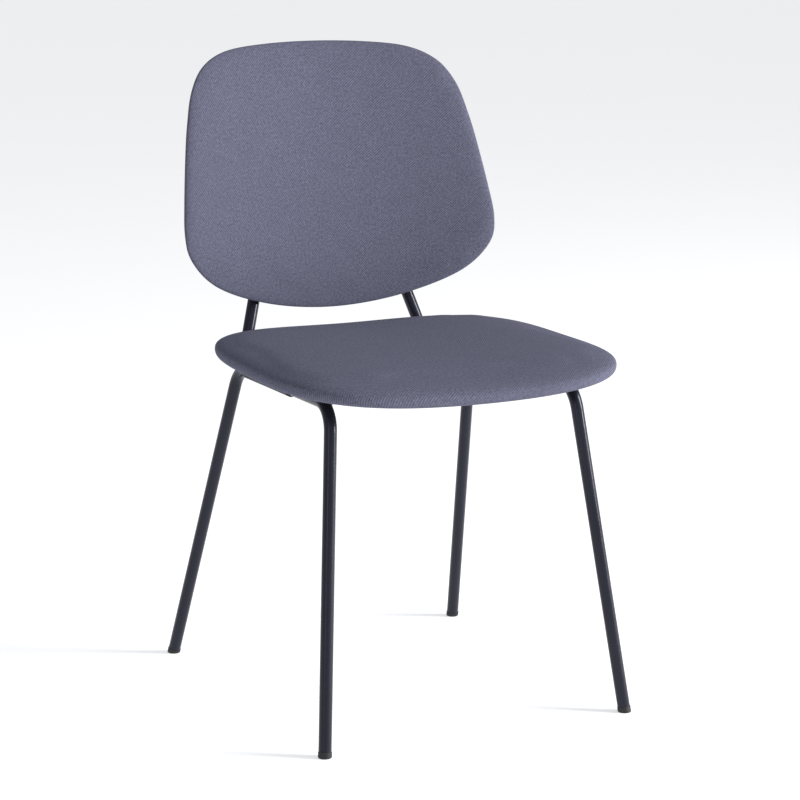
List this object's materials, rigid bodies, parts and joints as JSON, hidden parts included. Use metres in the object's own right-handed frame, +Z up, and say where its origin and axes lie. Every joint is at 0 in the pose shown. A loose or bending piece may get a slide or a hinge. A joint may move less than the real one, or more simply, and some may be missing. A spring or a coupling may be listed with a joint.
{
  "type": "dining chair",
  "caption": "Upholstered dining chair: padded dished seat and curved padded back on a slim bent steel tube frame with splayed legs.",
  "frame": {"origin": "middle of the chair's footprint box, on the floor", "axes": "+Z up, the sitter faces -Y, +X is the sitter's left"},
  "size_m": [0.462, 0.5248, 0.8216],
  "materials": {
    "powder_coat": "satin black powder coat over steel tube and bar",
    "black_plastic": "black moulded polyethylene, slightly grained",
    "upholstery": "blue-grey fine twill upholstery cloth, matt and slightly mottled",
    "dust_cover": "black spun-bonded non-woven cloth",
    "foam": "open-cell polyurethane foam and polyester wadding",
    "birch_plywood": "unfinished pressed birch plywood",
    "zinc_plate": "bright zinc plate",
    "staple_wire": "galvanised wire",
    "black_bolt": "black oxide steel"
  },
  "bodies": {
    "root": {"back_bolts": "black_bolt", "back_cover_front": "upholstery", "back_cover_rear": "upholstery", "back_foam_front": "foam", "back_plywood": "birch_plywood", "back_saddle_washers": "black_plastic", "back_spacers": "black_plastic", "back_tee_nuts": "zinc_plate", "back_upright_left": "powder_coat", "back_upright_right": "powder_coat", "back_wadding_rear": "foam", "foot_glide_front_left": "black_plastic", "foot_glide_front_right": "black_plastic", "foot_glide_rear_left": "black_plastic", "foot_glide_rear_right": "black_plastic", "front_cross_bar": "powder_coat", "rear_cross_bar": "powder_coat", "seat_bolts": "black_bolt", "seat_cover": "upholstery", "seat_dust_cover": "dust_cover", "seat_foam": "foam", "seat_plywood": "birch_plywood", "seat_spacers": "black_plastic", "seat_staples": "staple_wire", "seat_tee_nuts": "zinc_plate", "side_frame_left": "powder_coat", "side_frame_right": "powder_coat", "stacking_buffer_left": "black_plastic", "stacking_buffer_right": "black_plastic", "upright_plug_front_left": "black_plastic", "upright_plug_front_right": "black_plastic", "upright_plug_top_left": "black_plastic", "upright_plug_top_right": "black_plastic"}
  },
  "joints": []
}
